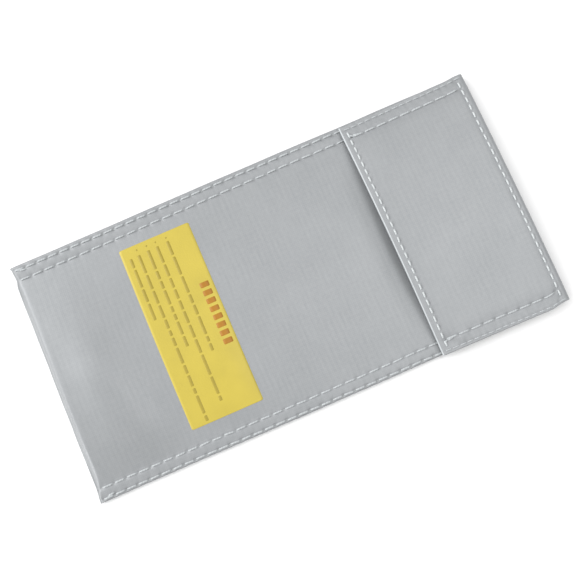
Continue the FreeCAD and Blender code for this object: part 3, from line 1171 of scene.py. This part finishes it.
@dataclass
class WarningLabel:
    """A yellow film label with a generic print: bars for lines of words, dots for bullets."""

    shape: Envelope
    film: bpy.types.Material
    heading_ink: bpy.types.Material
    text_ink: bpy.types.Material
    thick: float = 0.06
    ink_lift: float = 0.105
    half_bar: float = 0.62
    half_dot: float = 0.35
    ink_corner: float = 0.3
    words: tuple[float, float] = (2.2, 8.5)
    word_gap: float = 0.9
    block_gap: float = 1.3
    lines: tuple[tuple[float, float, float], ...] = (
        (10.7, 0.05, 0.67),
        (15.3, 0.055, 0.92),
        (19.2, 0.055, 0.60),
        (23.4, 0.06, 0.985),
        (27.0, 0.063, 0.41),
    )

    def place(self) -> tuple[float, float, float, float]:
        """The label's low and high corner across the front, in mm."""
        low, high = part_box("warning_label")
        return low.x / MM - 0.2, high.x / MM + 0.1, low.y / MM, high.y / MM + 0.4

    def patch(
        self, x0: float, x1: float, y0: float, y1: float, lift: float, corner: float, step: float
    ) -> Array:
        """A patch with rounded corners laid on the front panel.

        Rows near its ends are drawn in along a quarter circle of the corner's radius.

        Args:
            x0: low side along the pouch, in mm.
            x1: high side.
            y0: low side across it.
            y1: high side.
            lift: height over the front panel.
            corner: the corners' radius.
            step: spacing of the grid.

        Returns:
            Grid of points, (rows, columns, 3).
        """
        half_x, half_y = (x1 - x0) / 2, (y1 - y0) / 2
        rounding = corner * np.linspace(0, 1, 4)[:-1]
        inner = np.linspace(-half_y + corner, half_y - corner, max(2, round(2 * half_y / step)))
        across = np.concatenate([-half_y + rounding, inner, half_y - rounding[::-1]])
        depth = np.clip(corner - (half_y - np.abs(across)), 0, corner)
        draw = corner - np.sqrt(np.maximum(corner**2 - depth**2, 0))
        along = np.linspace(-1, 1, max(3, round(2 * half_x / step)))
        x = (x0 + x1) / 2 + along[:, None] * (half_x - draw)[None, :]
        y = np.broadcast_to((y0 + y1) / 2 + across, x.shape)
        return np.stack([x, y, self.shape.front(x, y) + lift], axis=2)

    def make_film(self) -> bpy.types.Object:
        """The film itself."""
        x0, x1, y0, y1 = self.place()
        surface = self.patch(x0, x1, y0, y1, self.thick + 0.02, 0.7, 1.0)
        return skin("warning_label_film", "warning_label", surface, self.thick)

    def make_heading(self) -> bpy.types.Object:
        """The heading: a bar cut into even blocks."""
        _, x1, y0, y1 = self.place()
        long = y1 - y0
        edges = np.linspace(y1 - 0.325 * long, y1 - 0.685 * long, 9)
        patches = [
            self.patch(x1 - 5.5, x1 - 1.7, low + self.block_gap, high, self.ink_lift, 0.35, 1.0)
            for high, low in zip(edges, edges[1:])
        ]
        return self.joined("label_heading_print", patches)

    def make_lines(self) -> bpy.types.Object:
        """The lines of words: bars of seeded lengths with narrow gaps, and bullets."""
        _, x1, y0, y1 = self.place()
        long = y1 - y0
        bar, dot, lift, corner = self.half_bar, self.half_dot, self.ink_lift, self.ink_corner
        rng = np.random.default_rng(7)
        patches = []
        for number, (inset, start, end) in enumerate(self.lines):
            at = y1 - start * long
            stop = y1 - end * long
            middle = x1 - inset
            while at - stop > 1.2:
                word = min(float(rng.uniform(*self.words)), at - stop)
                patches.append(self.patch(middle - bar, middle + bar, at - word, at, lift, corner, 1.2))
                at -= word + self.word_gap
            if number < 4:
                y = y1 - 0.03 * long
                patches.append(self.patch(middle - dot, middle + dot, y - dot, y + dot, lift, corner, 0.4))
        return self.joined("label_small_print", patches)

    def joined(self, name: str, patches: Sequence[Array]) -> bpy.types.Object:
        """Several patches as one piece of ink, each a closed shell."""
        objects = [shell(name, p, 0.02) for p in patches]
        with bpy.context.temp_override(active_object=objects[0], selected_editable_objects=objects):
            bpy.ops.object.join()
        objects[0].name = name
        return objects[0]

    def build(self) -> list[bpy.types.Object]:
        """Make the film and its print, dressed and riding on the bag."""
        film, heading, lines = self.make_film(), self.make_heading(), self.make_lines()
        for obj, material in ((film, self.film), (heading, self.heading_ink), (lines, self.text_ink)):
            dress(obj, material)
            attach(obj, "bag")
        return [film, heading, lines]


# ---------------------------------------------------------------- closure


@dataclass
class Closure:
    """The loop tape on the front panel and the hook tape inside the flap."""

    shape: Envelope
    ground: bpy.types.Material
    pile: bpy.types.Material
    hooks: bpy.types.Material
    row_gap: float = 1.5
    hook_gap: float = 1.15
    hook_half: float = 0.14
    pile_high: float = 1.1
    fuzz: float = 0.1

    def band(
        self, node: str, height: Height, step: float, thick: float, name: str, flip: bool = False
    ) -> bpy.types.Object:
        """A stretch of tape over a CAD node's outline, lying on a height."""
        low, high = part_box(node)
        xs = np.arange(low.x / MM, high.x / MM + step / 2, step)
        ys = np.arange(low.y / MM, high.y / MM + step / 2, step)
        if flip:
            xs = xs[::-1]
        x, y = np.meshgrid(xs, ys, indexing="ij")
        return skin(name, node, np.stack([x, y, height(x, y)], axis=2), thick)

    def make_loops(self) -> list[bpy.types.Object]:
        """Ground and pile of the soft tape; the pile's top is fuzzy, with low and high patches."""
        s = self.shape

        def tufted(x: Array, y: Array) -> Array:
            fuzz = np.random.default_rng(7).uniform(-self.fuzz, self.fuzz, x.shape)
            return s.front(x, y) + self.pile_high + fuzz + 0.06 * slow_noise(x, y, 33, 9.0, 5)

        base = self.band("loop_tape_base", s.tape_ground, 1.0, 0.4, "loop_tape_ground")
        pile = self.band("loop_pile", tufted, 0.36, 0.6, "loop_tape_pile")
        return [base, pile]

    def make_hooks(self) -> list[bpy.types.Object]:
        """Ground of the stiff tape, and its hooks in rows, all at once.

        A hook is a square-sectioned stem carried along a crook: down, then round and back up.
        """
        s = self.shape

        def under(x: Array, y: Array) -> Array:
            return s.flap(x, y) - s.cloth - s.lining - 0.45

        base = self.band("hook_tape_base", under, 1.0, 0.4, "hook_tape_ground", flip=True)
        low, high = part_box("hook_field")
        xs = np.arange(low.x / MM + 0.8, high.x / MM - 0.5, self.row_gap)
        ys = np.arange(low.y / MM + 0.8, high.y / MM - 0.5, self.hook_gap)
        gx, gy = (a.ravel() for a in np.meshgrid(xs, ys, indexing="ij"))
        gx = gx + 0.25 * (np.arange(len(gx)) % 2)
        side = np.where(np.round((gx - gx.min()) / self.row_gap) % 2 == 0, 1.0, -1.0)
        crook = np.array([[0, 0], [0, 0.26], [0.03, 0.44], [0.16, 0.57], [0.31, 0.47]])
        way = np.gradient(crook, axis=0)
        way /= np.linalg.norm(way, axis=1, keepdims=True)
        across = np.stack([way[:, 1], -way[:, 0]], axis=1)
        width = np.array([0.13, 0.11, 0.1, 0.09, 0.06])
        corners = []
        for u, v in ((-1, -1), (1, -1), (1, 1), (-1, 1)):
            at = crook + u * across * width[:, None]
            corners.append(np.stack([at[:, 0], v * self.hook_half + 0 * width, at[:, 1]], axis=1))
        hook = np.stack(corners, axis=1)
        z0 = under(gx, gy)
        y = gy[:, None, None] + side[:, None, None] * hook[None, :, :, 0]
        x = gx[:, None, None] + side[:, None, None] * hook[None, :, :, 1]
        z = z0[:, None, None] - hook[None, :, :, 2] + 0.05
        points = np.stack([x, y, z], axis=3)
        ring, step = np.meshgrid(np.arange(4), np.arange(4), indexing="ij")
        a = (ring * 4 + step).ravel()
        b = (ring * 4 + (step + 1) % 4).ravel()
        one = np.concatenate([np.stack([a, b, b + 4, a + 4], axis=1), [[0, 3, 2, 1]], [[16, 17, 18, 19]]])
        faces = (one[None] + (np.arange(len(gx)) * 20)[:, None, None]).reshape(-1, 4)
        flat = points.reshape(-1, 3)
        obj = mesh_object("hook_tape_hooks", flat, faces, flat[:, :2])
        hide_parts("hook_field")
        return [base, obj]

    def build(self) -> list[bpy.types.Object]:
        """Make both tapes, dressed and riding on their bodies."""
        loops, hooks = self.make_loops(), self.make_hooks()
        dress(loops[0], self.ground)
        dress(loops[1], self.pile)
        dress(hooks[0], self.ground)
        dress(hooks[1], self.hooks)
        for obj in loops:
            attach(obj, "bag")
        for obj in hooks:
            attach(obj, "flap")
        return loops + hooks


# ---------------------------------------------------------------- studio


@dataclass
class Studio:
    """A pale floor, soft light from above and a camera almost straight overhead."""

    azimuth: float = -101.84
    elevation: float = 82.13
    roll: float = -11.69
    distance: float = 0.3609
    target: tuple[float, float] = (0.0002, -0.00155)
    lens: float = 56.25
    sky: float = 0.61
    floor_half: float = 3.0
    floor_drop: float = 0.0003
    lights: tuple[tuple[str, tuple[float, float, float], float, float], ...] = (
        ("window_softbox", (-1.7, 1.3, 1.5), 2.4, 58.0),
        ("overhead_softbox", (0.55, 0.0, 1.4), 1.2, 8.0),
        ("low_strip", (-1.25, -0.4, 0.36), 0.6, 6.0),
    )

    def make_floor(self) -> None:
        """A plain white floor just under the pouch."""
        mesh = bpy.data.meshes.new("floor")
        half, drop = self.floor_half, self.floor_drop
        corners = [(x * half, y * half, -drop) for x, y in ((-1, -1), (1, -1), (1, 1), (-1, 1))]
        mesh.from_pydata(corners, [], [(0, 1, 2, 3)])
        floor = bpy.data.objects.new("floor", mesh)
        bpy.context.scene.collection.objects.link(floor)
        material = bpy.data.materials.new("matt_white_paper")
        material.use_nodes = True
        shader = material.node_tree.nodes["Principled BSDF"]
        shader.inputs["Base Color"].default_value = (0.97, 0.97, 0.97, 1)
        shader.inputs["Roughness"].default_value = 0.9
        shader.inputs["Specular IOR Level"].default_value = 0.1
        mesh.materials.append(material)

    def make_light(self, name: str, at: tuple[float, float, float], size: float, power: float) -> None:
        """A square area light that looks at the middle of the pouch."""
        data = bpy.data.lights.new(name, "AREA")
        data.size = size
        data.energy = power
        light = bpy.data.objects.new(name, data)
        light.location = at
        light.rotation_euler = (-Vector(at)).to_track_quat("-Z", "Y").to_euler()
        bpy.context.scene.collection.objects.link(light)

    def make_camera(self) -> None:
        """The camera, from its direction, roll and distance."""
        az, el, roll = (math.radians(a) for a in (self.azimuth, self.elevation, self.roll))
        back = Vector((math.cos(el) * math.cos(az), math.cos(el) * math.sin(az), math.sin(el)))
        right = Vector((0, 0, 1)).cross(back).normalized()
        up = back.cross(right)
        turned = right * math.cos(roll) + up * math.sin(roll)
        up = back.cross(turned)
        data = bpy.data.cameras.new("camera")
        data.lens = self.lens
        data.sensor_width = 36.0
        data.clip_start, data.clip_end = 0.01, 50.0
        camera = bpy.data.objects.new("camera", data)
        matrix = Matrix((turned, up, back)).transposed().to_4x4()
        matrix.translation = Vector((*self.target, 0)) + back * self.distance
        camera.matrix_world = matrix
        bpy.context.scene.collection.objects.link(camera)
        bpy.context.scene.camera = camera

    def build(self) -> None:
        """Make everything that isn't the pouch."""
        self.make_floor()
        world = bpy.data.worlds.new("studio")
        world.use_nodes = True
        background = world.node_tree.nodes["Background"]
        background.inputs[0].default_value = (1.0, 1.0, 1.0, 1)
        background.inputs[1].default_value = self.sky
        bpy.context.scene.world = world
        for name, at, size, power in self.lights:
            self.make_light(name, at, size, power)
        self.make_camera()
        bpy.context.scene.view_settings.view_transform = "Standard"


def main() -> None:
    """Build the pouch piece by piece, then the studio."""
    logging.basicConfig(level=logging.INFO, format="%(name)s: %(message)s")
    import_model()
    shape = Envelope()
    coated = WovenCloth("coated_glass_cloth").build()
    bare = WovenCloth(
        "bare_glass_cloth", colour="#b9bcba", shade="#a3a7a6", roughness=0.7, metallic=0.0, relief_mm=0.08
    ).build()
    # lighter copy of the coated cloth for the flap's turned edge: painted highlight
    edge_highlight = WovenCloth("edge_cloth_painted_highlight", colour="#bcc0c2", shade="#b2b6b8").build()
    # one thread in two copies: painted shade on the darker, painted highlight on the lighter
    shaded_thread = TwistedThread("thread_painted_shade").build()
    fresh = TwistedThread("fresh_thread", colour="#cbcfd0", shade="#bdc1c2").build()
    film = PrintedFilm("yellow_vinyl_film").build()
    heading = PrintedFilm("orange_ink", colour="#a97108").build()
    text = PrintedFilm("olive_ink", colour="#a3902a").build()
    ground = NylonTape("nylon_tape_ground").build()
    pile = NylonTape("brushed_nylon_pile", roughness=0.95, rib_mm=0.5, fuzz=0.5).build()
    hooks = NylonTape("nylon_hooks", roughness=0.45).build()
    builders = (
        Body(shape, coated, bare),
        Flap(shape, coated, bare, edge_highlight),
        WarningLabel(shape, film, heading, text),
        Closure(shape, ground, pile, hooks),
        Sewing(shape, shaded_thread, fresh),
    )
    for builder in builders:
        for piece in builder.build():
            LOG.info("%s: %s, %d faces", type(builder).__name__, piece.name, len(piece.data.polygons))
    Studio().build()


if __name__ == "__main__":
    main()
